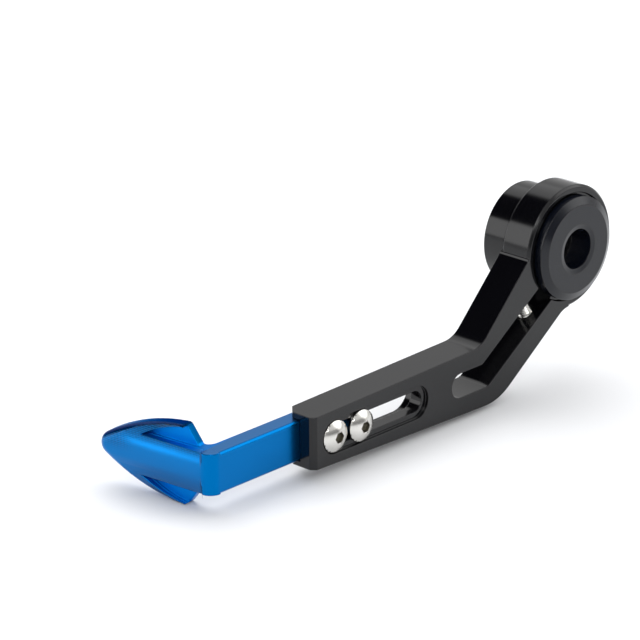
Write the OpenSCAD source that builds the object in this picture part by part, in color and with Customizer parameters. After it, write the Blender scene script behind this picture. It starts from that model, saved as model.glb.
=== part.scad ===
// Brake lever guard: a milled arm clamped round a bar-end body, with a sliding tip.
// Origin: centre of the rear bore, on the rear face of the bar-end body.
// +X runs from the tip towards the head, -Y is the front, +Z is up.

/* [Head] */
// Outside diameter of the clamp ring
ring_d = 37.4; // [34:0.2:42]
// Chamfer on the front edge of the clamp ring
ring_chamfer = 0.7; // [0.4:0.1:1]
// Chamfer on the rear edge of the clamp ring
ring_rear_chamfer = 1.2; // [0.4:0.1:1.4]
// Diameter of the journal that the ring turns on
journal_d = 27; // [24:0.2:29]
// Step from the cap's edge down to the collar behind the ring
collar_step = 0.15; // [0:0.05:0.5]
// Length of the collar behind the ring
collar_l = 9.1; // [7:0.1:14]
// Bore for the handlebar expander, from the rear
socket_d = 17.4; // [14:0.1:19]
// Depth of the expander bore
socket_l = 12; // [8:0.5:13]
// Through hole at the front, for the expander's screw
access_d = 12.1; // [8:0.1:13]

/* [Cap] */
// Diameter of the front cap
cap_d = 31.3; // [30:0.1:32]
// Thickness of the front cap
cap_t = 3.75; // [3:0.05:5]
// Width of the bevel round the cap, seen from the front
cap_bevel_w = 2.3; // [1:0.1:3]
// Depth of the bevel round the cap
cap_bevel_t = 1.1; // [0.5:0.1:1.6]
// Depth of the recess in the ring that the cap's edge sits in
recess_l = 1; // [0.5:0.1:1.5]
// Gap round the cap in its recess
recess_gap = 0.75; // [0.4:0.05:1]
// Diameter of the cap's spigot
spigot_d = 20; // [16:0.2:22]
// Length of the cap's spigot
spigot_l = 4; // [3:0.5:5]
// Width of the shallow dish round the cap's hole
dish_w = 1.5; // [0.4:0.1:2]
// Depth of the dish at the hole
dish_t = 0.35; // [0.2:0.05:1]

/* [Arm] */
// Thickness of the arm, front to back
arm_t = 11; // [10:0.2:14]
// Distance from the bore axis to the open end of the bar
reach = 108.9; // [104:0.5:112]
// Height of the bore axis over the middle of the bar
drop = 29.3; // [27:0.5:33]
// Height of the bar over its middle line, at the open end
end_top = 7.95; // [7.6:0.05:9]
// Height of the bar under its middle line, at the open end
end_low = 7.8; // [7.6:0.05:9]
// Rise of the bar's top edge towards the bend, in degrees
top_taper = 1; // [0:0.1:2]
// Fall of the bar's lower edge towards the bend, in degrees
low_taper = 1.7; // [0:0.1:2.5]
// Distance from the open end to the bend in the top edge
bend_top_x = 69.8; // [68:0.2:72]
// Distance from the open end to the bend in the lower edge
bend_low_x = 77.6; // [75:0.2:79]
// Slope of the upper arm's top edge, in degrees
rise_top = 45.4; // [43:0.2:47]
// Slope of the upper arm's lower edge, in degrees
rise_low = 35.5; // [34:0.2:37]
// Radius in the top edge's bend
bend_top_r = 9; // [6:0.5:18]
// Radius in the lower edge's bend
bend_low_r = 18; // [10:0.5:22]
// Radius where the upper arm's top runs into the ring
ring_top_r = 1.5; // [1:0.5:9]
// Radius where the upper arm's lower side runs into the ring
ring_low_r = 7; // [4:0.5:9]
// Chamfer on the front upright edge of the open end
end_front_chamfer = 1.5; // [0.5:0.1:2]
// Chamfer on the rear upright edge of the open end
end_rear_chamfer = 3; // [1:0.1:3.5]

/* [Clamp slot] */
// Width of the slot in the upper arm
slot_w = 7.4; // [6:0.1:8]
// Distance from the open end to the slot's rounded end centre
slot_start = 61; // [60:0.2:63]
// Distance from the open end to the slot's knee
slot_knee = 71.6; // [70:0.2:73]
// Height of the slot's level stretch, from the bar's middle line
slot_level = -0.3; // [-1:0.1:1]
// Slope of the slot past its knee, in degrees
slot_rise = 34.2; // [33:0.1:36]
// Distance of the clamp screw from the bore axis, along the slot
clamp_x = 21.4; // [19:0.1:23]

/* [Adjustment slot] */
// Distance from the open end to the outer tip screw
screw_x = 9.1; // [8:0.1:11]
// Distance between the two tip screws
screw_pitch = 10.5; // [10:0.1:13]
// Travel of the tip into the arm
travel = 22.5; // [10:0.5:23]
// Width of the slot for the screw shanks
shank_slot_w = 6.4; // [5.4:0.1:7]
// Width of the counterbore for the screw heads
head_slot_w = 10.2; // [9.8:0.1:10.8]
// Depth of the counterbore
head_slot_t = 1; // [0.6:0.1:2]

/* [Tip] */
// Height of the tip's stem
stem_h = 12.2; // [11:0.1:12.6]
// Thickness of the tip's stem
stem_t = 5.8; // [5:0.1:6.5]
// Length of the stem outside the arm, to the blade's outer face
stem_out = 34.3; // [28:0.5:45]
// Chamfer along the stem's edges
stem_chamfer = 0.6; // [0.2:0.1:1]
// Running gap over and under the stem
stem_gap = 0.05; // [0.02:0.01:0.1]
// Radius outside the tip's bend
bend_out_r = 3.5; // [2:0.1:5]
// Radius inside the tip's bend
bend_in_r = 3; // [1:0.1:5]
// Lean of the blade, past a right angle, in degrees
lean = 6; // [0:0.5:9]
// Length of the blade, from the stem's front face
blade_l = 40.8; // [38:0.2:44]
// Largest half height of the blade
wing_h = 11.9; // [11:0.05:14]
// Distance from the stem's front face to the wings' trailing corners
wing_u = 12; // [11:0.2:13]
// Distance from the stem's front face to where the flanks are widest
flank_u = 7; // [6:0.2:9]
// Distance from the stem's front face to the wings' roots
root_u = 6.9; // [6.5:0.1:8]
// Slope of the wings' trailing edges, in degrees
wing_slope = 53; // [50:1:57]
// Radius of the wings' corners
wing_corner_r = 1.6; // [0.8:0.1:2]
// Radius of the blade's flanks
flank_r = 62.4; // [55:0.2:75]
// Rounding of the blade's outer edge, along the flanks and the nose
blade_edge_r = 2.6; // [1:0.1:3]
// Thickness of the wings
wing_t = 2.4; // [2:0.1:3]
// Distance from the stem's front face to the pockets' ends beside the rib
pocket_u = 25.4; // [22:0.2:26]
// Distance from the stem's front face to where the pockets are highest
pocket_mid = 5.9; // [5:0.1:7]
// Radius of the pockets' curved edges
pocket_r = 37; // [36:0.5:45]
// Radius of the blade's outer face, across it
dome_r = 38; // [30:1:60]
// Height of the blade's outer face over the bend, in the middle
crown = 0.05; // [0.05:0.05:0.5]

/* [Screws] */
// Thread diameter of the screws
thread_d = 5; // [4:0.5:5]
// Head diameter of the button-head screws
button_d = 9.5; // [9:0.1:9.6]
// Head height of the button-head screws
button_h = 2.75; // [2.2:0.05:3]
// Height of the straight rim under the rounded top
button_rim = 0.9; // [0.3:0.1:1.2]
// Width across the flats of the sockets
socket_af = 3; // [2.5:0.1:3.2]
// Depth of the sockets
socket_depth = 1.6; // [1:0.1:1.8]
// Head diameter of the clamp screw
clamp_head_d = 8.5; // [8:0.1:8.6]
// Head height of the clamp screw
clamp_head_h = 3.5; // [3:0.1:3.6]
// Length of the clamp screw under its head
clamp_l = 18; // [16:0.5:19]
// Metal left between the clamp screw's head and the slot
clamp_wall = 3; // [2:0.2:4]

/* [Hidden] */

// Running clearance on a radius
running = 0.05;
// Clearance round a thread
thread_gap = 0.02;
// Clearance round a screw head in its counterbore
head_gap = 0.3;
// Overlap that keeps cuts clean
cut = 1;
// Step from the blade's flanks down to its nose
nose_step = 0.03;
// Length of the groove past the slot for the screws
groove_past = 1.9;
// Greatest angle between the points of an arc
arc_step = 3;
// Facets named for round pieces
round_fn = 96;

// Places of the arm's faces along Y
arm_rear = -collar_l - running;
arm_front = arm_rear - arm_t;
arm_mid = arm_rear - arm_t / 2;
// Floor of the groove that the stem lies in
groove_floor = arm_rear - stem_t;
// Place of the open end along X
end_x = -reach;
// Height of the bar's middle line
bar_z = -drop;
ring_r = ring_d / 2;
collar_r = cap_d / 2 - collar_step;
bore_r = journal_d / 2 + running;
recess_r = cap_d / 2 + recess_gap;
groove_w = stem_h + 2 * stem_gap;
inner_screw_x = screw_x + screw_pitch;
slot_far_x = inner_screw_x + travel;
// Height of the journal's front end over the recess floor
journal_lip = 0.35;
recess_floor = arm_front + recess_l;
cap_rear = recess_floor - journal_lip;
cap_front = cap_rear - cap_t;
// Blade's outer corner, before the bend is rounded
corner_x = end_x - stem_out;
tip_edge = [corner_x, groove_floor, bar_z];

// Unit vector at an angle
function unit(a) = [cos(a), sin(a)];

// Angle of a vector
function angle_of(v) = atan2(v.y, v.x);

// Shortest signed turn from one angle to another
function turn(a, b) = (b - a) - 360 * round((b - a) / 360);

// Points of an arc round c, from angle a to angle b the short way
function arc(c, r, a, b) =
    let(sweep = turn(a, b), n = max(2, ceil(abs(sweep) / arc_step)))
    [for (i = [0:n]) c + r * unit(a + sweep * i / n)];

// Rounded corner at q between p and s
function corner(p, q, s, r) =
    r == 0 ? [q] :
    let(
        v = (p - q) / norm(p - q),
        w = (s - q) / norm(s - q),
        half = acos(v * w) / 2,
        c = q + (v + w) / norm(v + w) * r / sin(half),
        t1 = q + v * r / tan(half),
        t2 = q + w * r / tan(half)
    )
    arc(c, r, angle_of(t1 - c), angle_of(t2 - c));

// Outline through points [x, y, radius]
function rounded(pts) =
    let(n = len(pts), at = function(i) [pts[i].x, pts[i].y])
    [for (i = [0:n - 1]) each corner(at((i + n - 1) % n), at(i), at((i + 1) % n), pts[i].z)];

// Where two lines meet, each given by a point and an angle
function meet(p, a, q, b) =
    let(u = unit(a), v = unit(b), w = q - p)
    p + u * (w.x * v.y - w.y * v.x) / (u.x * v.y - u.y * v.x);

// Foot of the perpendicular from the bore axis to a line
function foot(p, a) = p + unit(a) * (-p * unit(a));

// Arc of radius r that blends a line into the ring. The line has point p and
// angle a, and side is 1 where the arm's outside lies left of it.
function ring_blend(p, a, side, r) =
    let(
        out = side * unit(a + 90),
        away = foot(p, a) * out,
        back = sqrt(pow(ring_r + r, 2) - pow(away + r, 2)),
        c = -back * unit(a) + (away + r) * out
    )
    arc(c, r, angle_of(-out), angle_of(-c));

function reversed(list) = [for (i = [len(list) - 1:-1:0]) list[i]];

// Lays a drawing in X and Z, and gives it depth from y1 back to y2
module slab(y1, y2) {
    translate([0, y2, 0])
        rotate([90, 0, 0])
            linear_extrude(y2 - y1)
                children();
}

// Rod along Y, from y1 to y2
module rod(r, y1, y2) {
    translate([0, y2, 0])
        rotate([90, 0, 0])
            cylinder(r = r, h = y2 - y1, $fn = round_fn);
}

// Turned piece round the Y axis, drawn as [radius, y]
module turned(points) {
    rotate([-90, 0, 0])
        rotate_extrude($fn = round_fn)
            polygon(points);
}

// Corners of the arm's side view
top_p = [end_x, bar_z + end_top];
low_p = [end_x, bar_z - end_low];
top_bend = [end_x + bend_top_x, top_p.y + bend_top_x * tan(top_taper)];
low_bend = [end_x + bend_low_x, low_p.y - bend_low_x * tan(low_taper)];
top_blend = ring_blend(top_bend, rise_top, 1, ring_top_r);
low_blend = ring_blend(low_bend, rise_low, -1, ring_low_r);

// Side view of the arm: the bar, its bend and the upper arm into the ring
module arm_outline() {
    polygon(concat(
        [top_p],
        corner(top_p, top_bend, top_blend[0], bend_top_r),
        top_blend,
        [[0, 0]],
        reversed(low_blend),
        corner(low_blend[0], low_bend, low_p, bend_low_r),
        [low_p]
    ));
}

// Ring round the bore, with its edges chamfered where the arm doesn't cover them
module clamp_ring() {
    turned([
        [bore_r - cut, arm_front],
        [ring_r - ring_chamfer, arm_front],
        [ring_r, arm_front + ring_chamfer],
        [ring_r, arm_rear - ring_rear_chamfer],
        [ring_r - ring_rear_chamfer, arm_rear],
        [bore_r - cut, arm_rear]
    ]);
}

// Slot through the upper arm, into the bore
module clamp_slot_outline() {
    start = [end_x + slot_start, bar_z + slot_level];
    knee = [end_x + slot_knee, bar_z + slot_level];
    union() {
        translate(start)
            circle(slot_w / 2, $fn = round_fn);
        translate([start.x, start.y - slot_w / 2])
            square([knee.x - start.x, slot_w]);
        translate(knee)
            circle(slot_w / 2, $fn = round_fn);
        translate(knee)
            rotate(slot_rise)
                translate([0, -slot_w / 2])
                    square([-knee.x / cos(slot_rise) - bore_r / 2, slot_w]);
    }
}

// Slot with round ends, level with the bar's middle line, cut to a depth
module bar_slot(x1, x2, w, y1, y2) {
    for (x = [x1, x2])
        translate([end_x + x, 0, bar_z])
            rod(w / 2, y1, y2);
    translate([end_x + x1, y1, bar_z - w / 2])
        cube([x2 - x1, y2 - y1, w]);
}

// Cuts an upright edge of the open end at 45 degrees
module end_edge_cut(y, size) {
    translate([end_x, y, bar_z])
        rotate([0, 0, 45])
            cube([size * sqrt(2), size * sqrt(2), 4 * end_top], center = true);
}

// Places a child on the clamp screw's axis: +Z points along it, up through the slot
module at_clamp() {
    knee = [end_x + slot_knee, bar_z + slot_level];
    along = foot(knee, slot_rise) - clamp_x * unit(slot_rise);
    translate([along.x, arm_mid, along.y])
        rotate([0, -slot_rise, 0])
            children();
}

// Depth of the clamp screw's head seat under the slot's middle line
clamp_seat = slot_w / 2 + clamp_wall;

module arm() {
    color([0.10, 0.10, 0.11])
    difference() {
        union() {
            slab(arm_front, arm_rear)
                arm_outline();
            clamp_ring();
        }
        rod(bore_r, arm_front - cut, arm_rear + cut);
        rod(recess_r, arm_front - cut, recess_floor);
        slab(arm_front - cut, arm_rear + cut)
            clamp_slot_outline();
        // Groove for the stem, open at the rear and at the end
        bar_slot(-groove_w, slot_far_x + groove_past, groove_w, groove_floor, arm_rear + cut);
        // Slot for the screws, counterbored from the front
        bar_slot(screw_x, slot_far_x, shank_slot_w, arm_front - cut, groove_floor + cut);
        bar_slot(screw_x, slot_far_x, head_slot_w, arm_front - cut, arm_front + head_slot_t);
        end_edge_cut(arm_front, end_front_chamfer);
        end_edge_cut(arm_rear, end_rear_chamfer);
        // Holes for the clamp screw: a head seat, a clear hole and a thread
        at_clamp() {
            translate([0, 0, -clamp_seat - 3 * clamp_head_h])
                cylinder(r = clamp_head_d / 2 + head_gap, h = 3 * clamp_head_h, $fn = round_fn);
            translate([0, 0, -clamp_seat - cut])
                cylinder(r = thread_d / 2 + head_gap, h = clamp_seat + cut, $fn = round_fn);
            cylinder(r = thread_d / 2 + thread_gap, h = clamp_l - clamp_seat + cut, $fn = round_fn);
        }
    }
}

// Plan of the stem, its bend and the blade's rib, from the outer corner
module tip_plan(inner_end) {
    inner_corner = meet([0, stem_t], 0, [stem_t * cos(lean), stem_t * sin(lean)], 90 + lean);
    rib_end = root_u + 1;
    polygon(rounded([
        [inner_end, 0, 0],
        [0, 0, bend_out_r],
        [-rib_end * sin(lean), rib_end * cos(lean), 0],
        [-rib_end * sin(lean) + stem_t * cos(lean), rib_end * cos(lean) + stem_t * sin(lean), 0],
        [inner_corner.x, inner_corner.y, bend_in_r],
        [inner_end, stem_t, 0]
    ]));
}

// Centres of the upper flank's arc and of the nose's, which run into each other
flank_c = [flank_u, wing_h - flank_r];
nose_reach = blade_l - flank_c.x;
nose_r = (flank_r * flank_r - nose_reach * nose_reach - flank_c.y * flank_c.y) / (2 * (flank_r - nose_reach));
nose_c = [blade_l - nose_r, 0];
nose_angle = angle_of(nose_c - flank_c);

// Upper corner of the wings, before it is rounded
wing_tilt = -asin((wing_u - flank_u) / flank_r);
flank_top = [wing_u, flank_c.y + sqrt(flank_r * flank_r - pow(wing_u - flank_u, 2)) + 0.05];
wing_root = [root_u, stem_h / 2];
wing_corner = meet(wing_root, wing_slope, flank_top, wing_tilt);
wing_end = meet(flank_top, wing_tilt, nose_c, nose_angle);

// Outline of the wings, up to the nose: X runs along the blade and Y is its height
module wing_outline() {
    polygon(rounded([
        [root_u, stem_h / 2, 0],
        [wing_corner.x, wing_corner.y, wing_corner_r],
        [wing_end.x, wing_end.y, 0],
        [nose_c.x, nose_c.y, 0],
        [wing_end.x, -wing_end.y, 0],
        [wing_corner.x, -wing_corner.y, wing_corner_r],
        [root_u, -stem_h / 2, 0]
    ]));
}

// Disc of radius r and the blade's thickness, with its front edge rounded
module edged_disc(r) {
    rotate_extrude($fn = 4 * round_fn)
        intersection() {
            square([r, stem_t]);
            union() {
                square([r - blade_edge_r, stem_t]);
                translate([0, blade_edge_r])
                    square([r, stem_t - blade_edge_r]);
                translate([r - blade_edge_r, blade_edge_r])
                    circle(blade_edge_r, $fn = round_fn);
            }
        }
}

// Blade with a flat outer face: the wings between their two flanks, and the nose
module blade() {
    intersection() {
        blade_slab(0, stem_t)
            wing_outline();
        for_drawing()
            intersection() {
                translate(flank_c)
                    edged_disc(flank_r);
                translate([flank_c.x, -flank_c.y])
                    edged_disc(flank_r);
            }
    }
    for_drawing()
        translate(nose_c)
            edged_disc(nose_r - nose_step);
}

// Body that the blade's outer face is cut from: a rounded bar along it.
// Y runs along the blade, Z is its height and X its depth, from the outer face inwards.
module dome() {
    translate([dome_r - crown, 0, 0])
        rotate([-90, 0, 0])
            cylinder(r = dome_r, h = blade_l + cut, $fn = 2 * round_fn);
}

// One pocket beside the rib, open at the wing's trailing edge
module pocket_outline() {
    rise = sqrt(pocket_r * pocket_r - pow(pocket_u - pocket_mid, 2));
    intersection() {
        translate([pocket_mid, stem_h / 2 - rise])
            circle(pocket_r, $fn = 4 * round_fn);
        translate([0, stem_h / 2])
            square([2 * pocket_u, wing_h]);
    }
}

// Turns drawings of the blade into its plane: drawn X runs along it, Y is its height
module for_drawing() {
    rotate([90, 0, 90])
        children();
}

// Places the blade: its outer face on X = 0 and its length along Y
module on_blade() {
    translate(tip_edge)
        rotate([0, 0, lean])
            children();
}

// Lays a drawing of the blade in its plane and gives it depth from v1 to v2
module blade_slab(v1, v2) {
    translate([v1, 0, 0])
        for_drawing()
            linear_extrude(v2 - v1)
                children();
}

// What is cut from the rib and the blade to shape the outer face
module face_cut() {
    difference() {
        translate([-4 * cut, bend_out_r, -wing_h - cut])
            cube([4 * cut + stem_t + 2 * cut, blade_l, 2 * (wing_h + cut)]);
        dome();
    }
}

// Cuts the stem's long front edges at 45 degrees, from the bend to the inner end
module stem_edge_cut() {
    from = corner_x + bend_out_r;
    size = stem_chamfer * sqrt(2);
    for (z = [-stem_h / 2, stem_h / 2])
        translate([from, groove_floor, bar_z + z])
            rotate([45, 0, 0])
                translate([0, -size / 2, -size / 2])
                    cube([end_x + inner_screw_x + stem_h - from, size, size]);
}

module tip() {
    screws = [screw_x, inner_screw_x];
    color([0.02, 0.42, 0.75])
    difference() {
        union() {
            // Stem, bend and the start of the rib
            translate([tip_edge.x, tip_edge.y, bar_z - stem_h / 2])
                linear_extrude(stem_h)
                    tip_plan(stem_out + inner_screw_x);
            translate([end_x + inner_screw_x, 0, bar_z])
                rod(stem_h / 2, groove_floor, arm_rear);
            on_blade()
                blade();
        }
        on_blade() {
            face_cut();
            for (side = [0, 1])
                mirror([0, 0, side])
                    blade_slab(-2 * cut, stem_t - wing_t)
                        pocket_outline();
        }
        stem_edge_cut();
        for (x = screws)
            translate([end_x + x, 0, bar_z])
                rod(thread_d / 2 + thread_gap, groove_floor - cut, arm_rear + cut);
    }
}

// Button-head screw: head under the origin towards -Y, shank towards +Y
module button_screw(length) {
    crown_h = button_h - button_rim;
    crown_r = (pow(button_d / 2, 2) + pow(crown_h, 2)) / (2 * crown_h);
    difference() {
        union() {
            intersection() {
                rod(button_d / 2, -button_h, 0);
                translate([0, crown_r - button_h, 0])
                    sphere(crown_r, $fn = round_fn);
            }
            rod(thread_d / 2, 0, length);
        }
        translate([0, -button_h + socket_depth, 0])
            rotate([90, 0, 0])
                cylinder(d = socket_af / cos(30), h = socket_depth + cut, $fn = 6);
    }
}

module slide_screw(x) {
    color([0.80, 0.80, 0.79])
    translate([end_x + x, arm_front + head_slot_t, bar_z])
        button_screw(arm_t - head_slot_t - running);
}

module outer_slide_screw() {
    slide_screw(screw_x);
}

module inner_slide_screw() {
    slide_screw(inner_screw_x);
}

module clamp_screw() {
    color([0.80, 0.80, 0.79])
    at_clamp()
        difference() {
            union() {
                translate([0, 0, -clamp_seat - clamp_head_h])
                    cylinder(d = clamp_head_d, h = clamp_head_h, $fn = round_fn);
                translate([0, 0, -clamp_seat])
                    cylinder(d = thread_d, h = clamp_l, $fn = round_fn);
            }
            translate([0, 0, -clamp_seat - clamp_head_h - cut])
                cylinder(d = socket_af / cos(30), h = socket_depth + cut, $fn = 6);
        }
}

module bar_end() {
    edge = 0.15;
    color([0.08, 0.08, 0.09])
    turned([
        [socket_d / 2, 0],
        [collar_r - edge, 0],
        [collar_r, -edge],
        [collar_r, -collar_l],
        [journal_d / 2, -collar_l],
        [journal_d / 2, cap_rear],
        [spigot_d / 2 + thread_gap, cap_rear],
        [spigot_d / 2 + thread_gap, cap_rear + spigot_l + thread_gap],
        [access_d / 2, cap_rear + spigot_l + thread_gap],
        [access_d / 2, -socket_l],
        [socket_d / 2, -socket_l]
    ]);
}

module cap() {
    edge = 0.3;
    color([0.12, 0.12, 0.13])
    turned([
        [access_d / 2, cap_rear + spigot_l],
        [spigot_d / 2, cap_rear + spigot_l],
        [spigot_d / 2, cap_rear],
        [cap_d / 2 - edge, cap_rear],
        [cap_d / 2, cap_rear - edge],
        [cap_d / 2, cap_front + cap_bevel_t],
        [cap_d / 2 - cap_bevel_w, cap_front],
        [access_d / 2 + dish_w, cap_front],
        [access_d / 2, cap_front + dish_t]
    ]);
}

arm();
tip();
outer_slide_screw();
inner_slide_screw();
clamp_screw();
bar_end();
cap();
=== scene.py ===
"""Looks for the brake lever guard: rounded edges, a thread, anodised and steel finishes, a studio.

Lengths are in metres, in the frame of the CAD model: +X runs from the tip towards the head,
-Y is the front, +Z is up, and the origin is the bore axis on the rear face of the bar-end body.
"""

import math

import bmesh
import bpy
from mathutils import Matrix, Vector


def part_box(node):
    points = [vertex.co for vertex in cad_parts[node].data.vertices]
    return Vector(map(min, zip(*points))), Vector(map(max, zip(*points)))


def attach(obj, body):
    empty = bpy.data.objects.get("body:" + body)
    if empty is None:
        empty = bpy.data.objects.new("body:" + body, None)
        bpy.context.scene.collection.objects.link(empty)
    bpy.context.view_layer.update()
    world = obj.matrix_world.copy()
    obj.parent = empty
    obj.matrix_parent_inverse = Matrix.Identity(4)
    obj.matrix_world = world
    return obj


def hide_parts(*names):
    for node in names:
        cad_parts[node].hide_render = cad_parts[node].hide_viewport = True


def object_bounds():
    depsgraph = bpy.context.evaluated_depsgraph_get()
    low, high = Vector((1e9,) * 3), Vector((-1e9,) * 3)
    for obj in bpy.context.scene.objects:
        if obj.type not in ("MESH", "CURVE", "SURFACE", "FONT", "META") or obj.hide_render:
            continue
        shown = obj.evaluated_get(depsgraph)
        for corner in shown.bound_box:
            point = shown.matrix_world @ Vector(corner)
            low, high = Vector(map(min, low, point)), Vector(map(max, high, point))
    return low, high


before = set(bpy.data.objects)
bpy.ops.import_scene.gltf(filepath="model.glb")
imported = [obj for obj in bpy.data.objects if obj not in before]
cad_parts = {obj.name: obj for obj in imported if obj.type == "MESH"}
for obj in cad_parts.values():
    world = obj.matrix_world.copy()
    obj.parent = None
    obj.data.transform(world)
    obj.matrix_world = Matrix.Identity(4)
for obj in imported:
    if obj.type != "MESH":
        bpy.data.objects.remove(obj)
cad_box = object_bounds()

MM = 0.001


# Places read from the frame

def node_box(name):
    """Lowest corner, highest corner and centre of a CAD node, in metres."""
    low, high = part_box(name)
    return low, high, (low + high) / 2


arm_low, _, _ = node_box("arm")
tip_low, tip_high, _ = node_box("tip")


# Node trees

class Tree:
    """Short calls for building a shader tree."""

    def __init__(self, owner):
        owner.use_nodes = True
        self.tree = owner.node_tree
        self.tree.nodes.clear()

    def add(self, kind, settings=None, **inputs):
        """Adds a node. Inputs are values or sockets, named as in Blender with _ for a space,
        or i and their number."""
        node = self.tree.nodes.new(kind)
        for key, value in (settings or {}).items():
            setattr(node, key, value)
        for key, value in inputs.items():
            numbered = key[0] == "i" and key[1:].isdigit()
            self.put(node, int(key[1:]) if numbered else key.replace("_", " "), value)
        return node

    def put(self, node, key, value):
        """Sets or links one input of a node."""
        socket = node.inputs[key]
        if isinstance(value, bpy.types.NodeSocket):
            self.tree.links.new(value, socket)
        else:
            socket.default_value = value

    def math(self, operation, a, b=0.0):
        return self.add("ShaderNodeMath", {"operation": operation}, i0=a, i1=b).outputs[0]

    def vector(self, operation, a, b):
        return self.add("ShaderNodeVectorMath", {"operation": operation}, i0=a, i1=b).outputs[0]

    def dot(self, a, b):
        node = self.add("ShaderNodeVectorMath", {"operation": "DOT_PRODUCT"}, i0=a, i1=b)
        return node.outputs["Value"]

    def radius(self, place):
        """Distance from the Y axis."""
        flat = self.vector("MULTIPLY", place, (1.0, 0.0, 1.0))
        return self.add("ShaderNodeVectorMath", {"operation": "LENGTH"}, i0=flat).outputs["Value"]

    def ramp(self, value, low, high, to_low=0.0, to_high=1.0):
        """Smooth step from to_low at low to to_high at high."""
        node = self.add("ShaderNodeMapRange", {"interpolation_type": "SMOOTHSTEP"}, Value=value)
        for key, number in zip((1, 2, 3, 4), (low, high, to_low, to_high)):
            node.inputs[key].default_value = number
        return node.outputs[0]

    def band(self, value, rise, fall):
        """1 between two smooth steps, each given as (low, high), and 0 outside them."""
        return self.math("MULTIPLY", self.ramp(value, *rise), self.ramp(value, *fall, 1.0, 0.0))

    def product(self, first, *others):
        for other in others:
            first = self.math("MULTIPLY", first, other)
        return first

    def noise(self, vector, scale, detail=2.0, roughness=0.5):
        return self.add("ShaderNodeTexNoise", None, Vector=vector, Scale=scale, Detail=detail,
                        Roughness=roughness).outputs["Fac"]

    def mix(self, factor, a, b):
        """Mix of two colours."""
        node = self.add("ShaderNodeMix", {"data_type": "RGBA"})
        for key, value in ((0, factor), (6, a), (7, b)):
            self.put(node, key, value)
        return node.outputs[2]

    def bump(self, height, distance, strength=1.0, normal=None):
        node = self.add("ShaderNodeBump", None, Height=height, Distance=distance,
                        Strength=strength)
        if normal is not None:
            self.put(node, "Normal", normal)
        return node.outputs[0]


def linear(red, green, blue):
    """Colour written as 0 to 255, as an RGBA value for a shader."""
    def one(v):
        v /= 255
        return v / 12.92 if v <= 0.04045 else ((v + 0.055) / 1.055) ** 2.4
    return (one(red), one(green), one(blue), 1.0)


def finish_material(tree, shader):
    tree.add("ShaderNodeOutputMaterial", None, Surface=shader)


# Finishes

GRAIN_DEPTH = 0.002 * MM
LATHE_PITCH = 0.16 * MM
LATHE_DEPTH = 0.003 * MM
BLACK_IOR = 1.44


def black_anodised(name, roughness, edge_highlight=0.0):
    """Satin black anodised aluminium with a fine blasted grain. The last argument is a painted
    highlight: it lightens the colour, for the rounded edges.
    """
    material = bpy.data.materials.new(name)
    t = Tree(material)
    here = t.add("ShaderNodeTexCoord").outputs["Object"]
    grain = t.noise(here, 9000.0, 3.0, 0.6)
    cloud = t.noise(here, 45.0, 3.0, 0.55)
    base = t.mix(cloud, linear(4 + edge_highlight, 4 + edge_highlight, 6 + edge_highlight),
                 linear(8 + edge_highlight, 8 + edge_highlight, 11 + edge_highlight))
    rough = t.math("ADD", roughness - 0.04, t.math("MULTIPLY", cloud, 0.05))
    rough = t.math("ADD", rough, t.math("MULTIPLY", grain, 0.04))
    shader = t.add("ShaderNodeBsdfPrincipled", None, Base_Color=base, Roughness=rough,
                   IOR=BLACK_IOR, Normal=t.bump(grain, GRAIN_DEPTH, 0.35))
    finish_material(t, shader.outputs[0])
    return material


def turned_black(name, roughness):
    """Black anodised face with the concentric marks of a lathe, round the Y axis."""
    material = bpy.data.materials.new(name)
    t = Tree(material)
    here = t.add("ShaderNodeTexCoord").outputs["Object"]
    radius = t.radius(here)
    wave = t.math("SINE", t.math("MULTIPLY", radius, 2 * math.pi / LATHE_PITCH))
    uneven = t.noise(t.add("ShaderNodeCombineXYZ", None, X=radius).outputs[0], 7000.0, 2.0)
    marks = t.math("ADD", t.math("MULTIPLY", wave, 0.3), uneven)
    cloud = t.noise(here, 60.0, 3.0)
    base = t.mix(cloud, linear(6, 9, 17), linear(12, 15, 24))
    rough = t.math("ADD", roughness, t.math("MULTIPLY", uneven, 0.05))
    shader = t.add("ShaderNodeBsdfPrincipled", None, Base_Color=base, Roughness=rough,
                   IOR=BLACK_IOR, Normal=t.bump(marks, LATHE_DEPTH, 0.3))
    finish_material(t, shader.outputs[0])
    return material


# The blade. Its outer corner is STEM_OUT past the arm's open end, and its outer face leans past a
# right angle. Below, along is the distance from that corner along the blade, height is from its
# middle, and depth is from its outer face.
STEM_OUT = 34.3 * MM
BLADE_LEAN = math.radians(6)
BLADE_CROWN_RADIUS = 20 * MM
CROWN_FADE = (20 * MM, 40 * MM)
BLADE_START = (3.6 * MM, 4.2 * MM)
FACE_DEPTH = (2.4 * MM, 2.8 * MM)
RIB_HALF = 6.1 * MM
POCKET_START = (5 * MM, 7 * MM)
POCKET_END = 25.4 * MM
POCKET_FLOOR_DEPTH = ((2.9 * MM, 3.3 * MM), (3.8 * MM, 4.4 * MM))
FACING_UP = (0.25, 0.7)
# What the cutter left: rounded corners and a cross-hatch
MILLED_RADIUS = 0.5 * MM
HATCH_PITCH = 0.75 * MM
HATCH_DEPTH = 0.04 * MM
HATCHED_SIDE = (3 * MM, 6 * MM)
HATCHED_NOSE = (26 * MM, 34 * MM)
BLUES = (linear(0, 104, 172), linear(0, 112, 184))
# Painted shade for the face high up, for the top edge and for the hatch's grooves; painted light
# for the pockets' floors
SHADED_UPPER_BLUE = linear(0, 76, 132)
SHADE_BLUE = linear(0, 46, 86)
LIT_SUNK_BLUE = linear(0, 128, 214)


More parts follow.
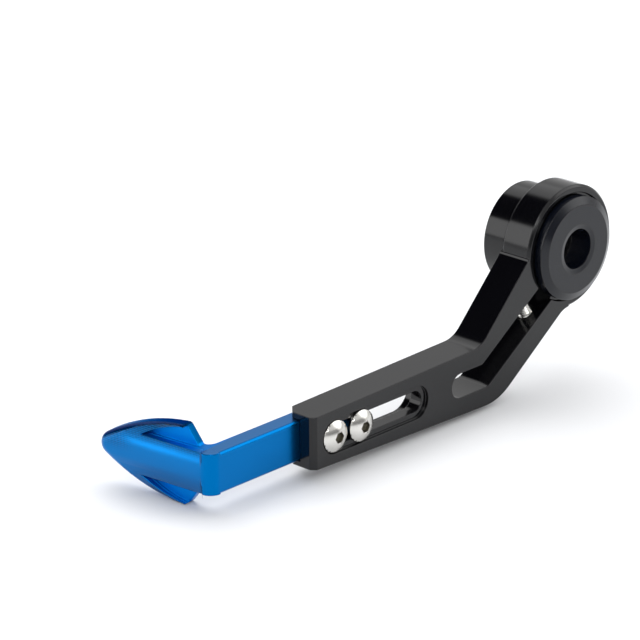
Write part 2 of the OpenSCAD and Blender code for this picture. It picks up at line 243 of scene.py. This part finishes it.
def blue_anodised(name, roughness):
    """Blue anodised aluminium: tinted metal, with the crown and the cross-hatch of the blade.
    Painted shade darkens the blade's high side, its top edge and the hatch's grooves, and
    painted light brightens the pockets' floors and the rib's top side.
    """
    material = bpy.data.materials.new(name)
    t = Tree(material)
    coordinates = t.add("ShaderNodeTexCoord")
    here = coordinates.outputs["Object"]
    grain = t.noise(here, 7000.0, 3.0, 0.6)
    cloud = t.noise(here, 40.0, 3.0, 0.55)

    corner = Vector((arm_low.x - STEM_OUT, tip_low.y, (tip_low.z + tip_high.z) / 2))
    from_corner = t.vector("SUBTRACT", here, corner)
    along = t.dot(from_corner, (-math.sin(BLADE_LEAN), math.cos(BLADE_LEAN), 0.0))
    depth = t.dot(from_corner, (math.cos(BLADE_LEAN), math.sin(BLADE_LEAN), 0.0))
    height = t.dot(from_corner, (0.0, 0.0, 1.0))
    up = t.dot(coordinates.outputs["Normal"], (0.0, 0.0, 1.0))

    on_blade = t.ramp(along, *BLADE_START)
    on_face = t.product(t.ramp(depth, *FACE_DEPTH, 1.0, 0.0), on_blade)
    # The blade's upper edge lies above the rib, and round the nose; where it faces up, it is
    # painted darker as painted shade
    above = t.ramp(height, RIB_HALF + 0.3 * MM, RIB_HALF + 0.9 * MM)
    nose = t.product(t.ramp(along, POCKET_END, POCKET_END + 1.5 * MM),
                     t.ramp(height, -1 * MM, 0.0))
    faces_up = t.product(t.ramp(up, *FACING_UP), on_blade)
    shaded_top_edge = t.product(faces_up, t.math("MAXIMUM", above, nose))
    # The pockets' floors, and the rib's upper side, are painted lighter as painted light
    lit_sunk = t.product(t.band(depth, *POCKET_FLOOR_DEPTH), t.ramp(along, *POCKET_START),
                     t.ramp(up, *FACING_UP, 1.0, 0.0))
    lit_sunk = t.math("MAXIMUM", lit_sunk, t.math("SUBTRACT", faces_up, shaded_top_edge))
    # The cross-hatch lies along the upper side, and round the nose
    round_nose = t.product(t.ramp(along, *HATCHED_NOSE), t.ramp(height, -1 * MM, 2.5 * MM))
    hatched = t.math("MAXIMUM", round_nose, t.ramp(height, *HATCHED_SIDE))
    milled = t.product(on_face, hatched, t.math("SUBTRACT", 1.0, lit_sunk))

    # The crown is weaker towards the nose
    crown = t.math("DIVIDE", t.math("MULTIPLY", height, height), -2 * BLADE_CROWN_RADIUS)
    crown = t.product(crown, on_face, t.ramp(along, *CROWN_FADE, 1.0, 0.3))
    wave = 2 * math.pi / HATCH_PITCH * math.sqrt(0.5)
    one = t.math("SINE", t.math("MULTIPLY", t.math("ADD", along, height), wave))
    two = t.math("SINE", t.math("MULTIPLY", t.math("SUBTRACT", along, height), wave))
    hatch = t.product(one, two, milled)
    # Painted shade in the grooves of the cross-hatch
    hatch_shade = t.product(t.ramp(hatch, -0.6, 0.4, 0.7, 0.0), milled)

    base = t.mix(cloud, *BLUES)
    # Painted shade: the blade's face is painted darker towards its top
    upper_shade = t.product(t.ramp(height, 3 * MM, 9 * MM), on_face, 0.5)
    base = t.mix(upper_shade, base, SHADED_UPPER_BLUE)
    # Painted shade: the blade's top edge is painted darker
    base = t.mix(t.math("MULTIPLY", shaded_top_edge, 0.85), base, SHADE_BLUE)
    # Painted light: the pockets' floors and the rib's upper side are painted lighter
    base = t.mix(lit_sunk, base, LIT_SUNK_BLUE)
    base = t.mix(hatch_shade, base, SHADE_BLUE)

    rough = t.math("ADD", roughness, t.math("MULTIPLY", grain, 0.06))
    rough = t.math("ADD", rough, t.math("MULTIPLY", milled, 0.08))
    rough = t.math("ADD", rough, t.math("MULTIPLY", lit_sunk, 0.25))
    normal = t.add("ShaderNodeBevel", {"samples": 6}, Radius=MILLED_RADIUS).outputs[0]
    normal = t.bump(crown, 1.0, 1.0, normal)
    normal = t.bump(hatch, HATCH_DEPTH, 1.0, normal)
    normal = t.bump(grain, GRAIN_DEPTH, 0.4, normal)
    shader = t.add("ShaderNodeBsdfPrincipled", None, Base_Color=base, Metallic=1.0,
                   Roughness=rough, Normal=normal,
                   Specular_Tint=t.mix(shaded_top_edge, linear(255, 255, 255), linear(90, 170, 235)),
                   Coat_Weight=t.math("MULTIPLY", on_face, 0.16))
    finish_material(t, shader.outputs[0])
    return material


# Radius over the corners of the slide screws' sockets, and the depths where they start and end
SOCKET_RADIUS = 1.73 * MM
SOCKET_DEPTH = ((0.05 * MM, 0.5 * MM), (2.9 * MM, 3.0 * MM))


def stainless(name, roughness, sockets=()):
    """Bright stainless steel with a fine grain and an uneven tone. sockets are the front middles
    of heads, which face -Y; within the hexagon the steel is rougher, and darker as painted shade."""
    material = bpy.data.materials.new(name)
    t = Tree(material)
    here = t.add("ShaderNodeTexCoord").outputs["Object"]
    grain = t.noise(here, 5000.0, 3.0, 0.6)
    cloud = t.noise(here, 220.0, 3.0)
    base = t.mix(cloud, linear(208, 206, 200), linear(226, 224, 220))
    rough = t.math("ADD", roughness, t.math("MULTIPLY", cloud, 0.1))
    normal = t.bump(grain, GRAIN_DEPTH, 0.4)
    for front in sockets:
        # Painted shade: within each hexagon socket the steel is painted darker, and is rougher
        inward = t.vector("SUBTRACT", here, front)
        shaded_socket = t.ramp(t.radius(inward), SOCKET_RADIUS * 0.96, SOCKET_RADIUS * 1.06, 1.0, 0.0)
        deep = t.dot(inward, (0.0, 1.0, 0.0))
        shaded_socket = t.product(shaded_socket, t.band(deep, *SOCKET_DEPTH))
        base = t.mix(shaded_socket, base, linear(118, 115, 104))
        rough = t.math("ADD", rough, t.math("MULTIPLY", shaded_socket, 0.2))
    shader = t.add("ShaderNodeBsdfPrincipled", None, Base_Color=base, Metallic=1.0,
                   Roughness=rough, Normal=normal)
    finish_material(t, shader.outputs[0])
    return material


# Pieces

# M5 thread of the clamp screw. It starts and stops at these distances from the screw's end
THREAD_RADIUS = 2.5 * MM
THREAD_PITCH = 0.8 * MM
THREAD_DEPTH = 0.42 * MM
THREAD_START = 0.4 * MM
THREAD_STOP = 14.8 * MM
THREAD_STEP = 0.1 * MM
# Slope of the slot that the clamp screw lies across
SLOT_RISE = math.radians(34.2)


def drop_custom_normals(piece):
    """Lets a piece's normals follow its faces again."""
    if piece.data.has_custom_normals:
        bpy.context.view_layer.objects.active = piece
        with bpy.context.temp_override(object=piece, active_object=piece):
            bpy.ops.mesh.customdata_custom_splitnormals_clear()


def rounded_copy(node, body, width, face, edge, sharp=28.0, near=lambda place: False):
    """A copy of a CAD node which stands for the node. Its edges over sharp degrees are rounded,
    except where near is true of one of their ends."""
    piece = bpy.data.objects.new(node + "_piece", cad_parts[node].data.copy())
    bpy.context.scene.collection.objects.link(piece)
    mesh = piece.data
    drop_custom_normals(piece)
    mesh.materials.clear()
    mesh.materials.append(face)
    mesh.materials.append(edge)
    shape = bmesh.new()
    shape.from_mesh(mesh)
    bmesh.ops.remove_doubles(shape, verts=shape.verts, dist=1e-6)
    bmesh.ops.dissolve_limit(shape, angle_limit=math.radians(0.3), verts=shape.verts,
                             edges=shape.edges)
    for f in shape.faces:
        f.smooth = True
        f.material_index = 0
    weight = shape.edges.layers.float.new("bevel_weight_edge")
    for e in shape.edges:
        e.smooth = len(e.link_faces) == 2 and e.calc_face_angle(0.0) < math.radians(sharp)
        if not e.smooth and not any(near(v.co) for v in e.verts):
            e[weight] = 1.0
    shape.to_mesh(mesh)
    shape.free()
    bevel = piece.modifiers.new("round", "BEVEL")
    bevel.width = width
    bevel.segments = 2
    bevel.limit_method = "WEIGHT"
    bevel.use_clamp_overlap = False
    bevel.harden_normals = True
    bevel.material = 1
    apply_modifiers(piece)
    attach(piece, body)
    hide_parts(node)
    return piece


def cut_thread(piece, way):
    """Cuts a helical groove into a screw's shank. way is its axis, away from the head."""
    drop_custom_normals(piece)
    shape = bmesh.new()
    shape.from_mesh(piece.data)
    # The axis goes through the middle of the rim at the screw's end
    far = max(way.dot(v.co) for v in shape.verts)
    rim = [v.co for v in shape.verts if far - way.dot(v.co) < 0.01 * MM]
    end = sum(rim, Vector()) / len(rim)
    side = way.cross(Vector((0.0, 1.0, 0.0)))
    rings = round((THREAD_STOP - THREAD_START) / THREAD_STEP)
    for ring in range(rings + 1):
        parts = shape.verts[:] + shape.edges[:] + shape.faces[:]
        bmesh.ops.bisect_plane(shape, geom=parts, dist=1e-7, plane_no=way,
                               plane_co=end - way * (THREAD_START + ring * THREAD_STEP))
    for v in shape.verts:
        down = (end - v.co).dot(way)
        out = v.co - end + way * down
        if abs(out.length - THREAD_RADIUS) > 0.02 * MM or not THREAD_START < down < THREAD_STOP:
            continue
        turns = down / THREAD_PITCH + math.atan2(out.dot(side), out.y) / (2 * math.pi)
        wave = 2 * abs(turns - math.floor(turns + 0.5))
        run_out = min(1.0, min(down - THREAD_START, THREAD_STOP - down) / THREAD_PITCH)
        v.co -= out.normalized() * THREAD_DEPTH * wave * run_out
    for f in shape.faces:
        f.smooth = True
    for e in shape.edges:
        e.smooth = e.calc_face_angle(0.0) < math.radians(60.0)
    shape.to_mesh(piece.data)
    shape.free()


def apply_modifiers(piece):
    """Turns a piece's modifiers into mesh."""
    graph = bpy.context.evaluated_depsgraph_get()
    mesh = bpy.data.meshes.new_from_object(piece.evaluated_get(graph), depsgraph=graph)
    piece.modifiers.clear()
    piece.data = mesh


black = black_anodised("black_anodised", 0.12)
# The rounded edges of the black parts get a lighter black as a painted highlight
black_highlit_edge = black_anodised("black_anodised_highlit_edge", 0.2, 6.0)
black_turned = turned_black("black_turned", 0.16)
blue = blue_anodised("blue_anodised", 0.26)
blue_edge = blue_anodised("blue_anodised_edge", 0.22)
screw_fronts = []
for screw in ("outer_slide_screw", "inner_slide_screw"):
    screw_low, _, screw_centre = node_box(screw)
    screw_fronts.append(Vector((screw_centre.x, screw_low.y, screw_centre.z)))
steel = stainless("stainless", 0.16, screw_fronts)

rounded_copy("arm", "arm", 0.2 * MM, black, black_highlit_edge)
rounded_copy("tip", "tip", 0.2 * MM, blue, blue_edge,
             sharp=18.0, near=lambda place: place.y > tip_high.y - 8 * MM)
rounded_copy("outer_slide_screw", "tip", 0.12 * MM, steel, steel)
rounded_copy("inner_slide_screw", "tip", 0.12 * MM, steel, steel)
clamp_screw = rounded_copy("clamp_screw", "arm", 0.12 * MM, steel, steel)
cut_thread(clamp_screw, Vector((-math.sin(SLOT_RISE), 0.0, math.cos(SLOT_RISE))))
rounded_copy("bar_end", "head", 0.15 * MM, black, black_highlit_edge)
rounded_copy("cap", "head", 0.12 * MM, black_turned, black_highlit_edge, sharp=9.0)


# Studio

def angles(*degrees):
    """Two smooth steps of a band, from four angles in degrees."""
    first, second, third, fourth = (math.radians(d) for d in degrees)
    return (first, second), (third, fourth)


# Levels of the room and of what stands in it, where the camera's white is 1. The bands run along Y
# behind the object, and their places are angles from +Z towards -X.
ROOM_LEVEL = 0.76
# Dark gap overhead
GAP_TURN = angles(-16, -4, 46, 54)
# Brighter wall high on the right of the gap
BRIGHT_TURN = angles(-54, -42, -16, -8)
BRIGHT_LEVEL = 0.5
# Panel low on the left of the gap
PANEL_TURN = angles(48, 54, 86, 92)
PANEL_LEVEL = 1.6
# How much darker the room is in front, low behind the camera
DARK_PART = 0.7
# Soft boxes in front: the way to each, the cosines where it starts and is full, and its level
SOFT_BOXES = (((0.67, -0.5, 0.55), 0.86, 0.95, 1.4), ((-0.5, -0.62, 0.6), 0.975, 0.985, 6.0))

FLOOR_COLOUR = linear(217, 218, 220)
FLOOR_GLOW = 0.04

KEY_PLACE = (0.12, 0.36, 0.7)
KEY_SIDE = 0.9
KEY_POWER = 7.6

floor_z = tip_low.z - 0.1 * MM


def floor_material():
    """Pale floor. A faint glow, for the camera and mirrors only, makes it white."""
    material = bpy.data.materials.new("studio_floor")
    t = Tree(material)
    path = t.add("ShaderNodeLightPath")
    seen = t.math("MAXIMUM", path.outputs["Is Glossy Ray"], path.outputs["Is Transmission Ray"])
    seen = t.math("MAXIMUM", path.outputs["Is Camera Ray"], seen)
    paint = t.add("ShaderNodeBsdfDiffuse", None, Color=FLOOR_COLOUR)
    glow = t.add("ShaderNodeEmission", None, Color=(1.0, 1.0, 1.0, 1.0),
                 Strength=t.math("MULTIPLY", seen, FLOOR_GLOW))
    both = t.add("ShaderNodeAddShader", None, i0=paint.outputs[0], i1=glow.outputs[0])
    finish_material(t, both.outputs[0])
    return material


bpy.ops.mesh.primitive_plane_add(size=8.0, location=(0.0, 0.0, floor_z))
floor = bpy.context.object
floor.name = "studio_floor"
floor.data.materials.append(floor_material())


def studio_world():
    """White to the camera. Elsewhere it is a pale room, with a dark gap and a panel behind."""
    world = bpy.data.worlds.new("studio")
    bpy.context.scene.world = world
    t = Tree(world)
    path = t.add("ShaderNodeLightPath")
    way = t.add("ShaderNodeTexCoord").outputs["Generated"]
    x, y, z = (t.dot(way, axis) for axis in ((1, 0, 0), (0, 1, 0), (0, 0, 1)))
    turn = t.math("ARCTAN2", t.math("MULTIPLY", x, -1.0), z)
    gap = t.product(t.band(turn, *GAP_TURN), t.ramp(y, 0.1, 0.4))
    bright = t.product(t.band(turn, *BRIGHT_TURN), t.ramp(y, 0.35, 0.5))
    panel_part = t.product(t.band(turn, *PANEL_TURN), t.ramp(y, 0.3, 0.5),
                           t.ramp(y, 0.52, 0.62, 2.3, 0.9))
    dark = t.product(t.ramp(y, -0.82, -0.7, 1.0, 0.0), t.ramp(z, 0.26, 0.36, 1.0, 0.0))
    room = t.math("MULTIPLY", ROOM_LEVEL, t.math("SUBTRACT", 1.0, gap))
    room = t.math("ADD", room, t.math("MULTIPLY", bright, BRIGHT_LEVEL))
    room = t.math("ADD", room, t.math("MULTIPLY", panel_part, PANEL_LEVEL))
    room = t.math("MULTIPLY", room, t.math("SUBTRACT", 1.0, t.math("MULTIPLY", dark, DARK_PART)))
    for way_to, starts, full, level in SOFT_BOXES:
        box = t.ramp(t.dot(way, Vector(way_to).normalized()), starts, full)
        room = t.math("ADD", room, t.math("MULTIPLY", box, level))
    level = t.math("MAXIMUM", path.outputs["Is Camera Ray"], room)
    back = t.add("ShaderNodeBackground", None, Color=(1.0, 1.0, 1.0, 1.0), Strength=level)
    t.add("ShaderNodeOutputWorld", None, Surface=back.outputs[0])


studio_world()

# The key lamp stands high behind the object, and mirrors don't show it
key_light = bpy.data.lights.new("key", "AREA")
key_light.shape = "SQUARE"
key_light.size = KEY_SIDE
key_light.energy = KEY_POWER
key = bpy.data.objects.new("key", key_light)
bpy.context.scene.collection.objects.link(key)
key.location = KEY_PLACE
middle = (cad_box[0] + cad_box[1]) / 2
key.rotation_euler = (Vector(middle) - Vector(KEY_PLACE)).to_track_quat("-Z", "Y").to_euler()
key.visible_glossy = False


# Camera, placed as the photograph's was

CAMERA_TURN = math.radians(-46.015)
CAMERA_RISE = math.radians(21.071)
CAMERA_ROLL = math.radians(-0.503)
CAMERA_DISTANCE = 991.831 * MM
CAMERA_SHIFT = (1.840 * MM, 34.725 * MM)
AIM_HEIGHT = -29.3 * MM
FOCAL_PIXELS = 3599.322
PHOTO_WIDTH = 640
SENSOR_MM = 36.0

back_way = Vector((math.sin(CAMERA_TURN) * math.cos(CAMERA_RISE),
                   -math.cos(CAMERA_TURN) * math.cos(CAMERA_RISE),
                   math.sin(CAMERA_RISE)))
level_right = Vector((math.cos(CAMERA_TURN), math.sin(CAMERA_TURN), 0.0))
level_up = back_way.cross(level_right)
right = math.cos(CAMERA_ROLL) * level_right + math.sin(CAMERA_ROLL) * level_up
up = math.cos(CAMERA_ROLL) * level_up - math.sin(CAMERA_ROLL) * level_right
# The camera was fitted round the middle of the bar's open end, on the arm's front face
aim = Vector((arm_low.x, arm_low.y, AIM_HEIGHT))
eye = aim + back_way * CAMERA_DISTANCE + right * CAMERA_SHIFT[0] + up * CAMERA_SHIFT[1]

camera_data = bpy.data.cameras.new("camera")
camera_data.sensor_width = SENSOR_MM
camera_data.lens = FOCAL_PIXELS * SENSOR_MM / PHOTO_WIDTH
camera = bpy.data.objects.new("camera", camera_data)
bpy.context.scene.collection.objects.link(camera)
facing = Matrix((right, up, back_way)).transposed()
camera.matrix_world = Matrix.Translation(eye) @ facing.to_4x4()
bpy.context.scene.camera = camera

bpy.context.scene.view_settings.view_transform = "Standard"
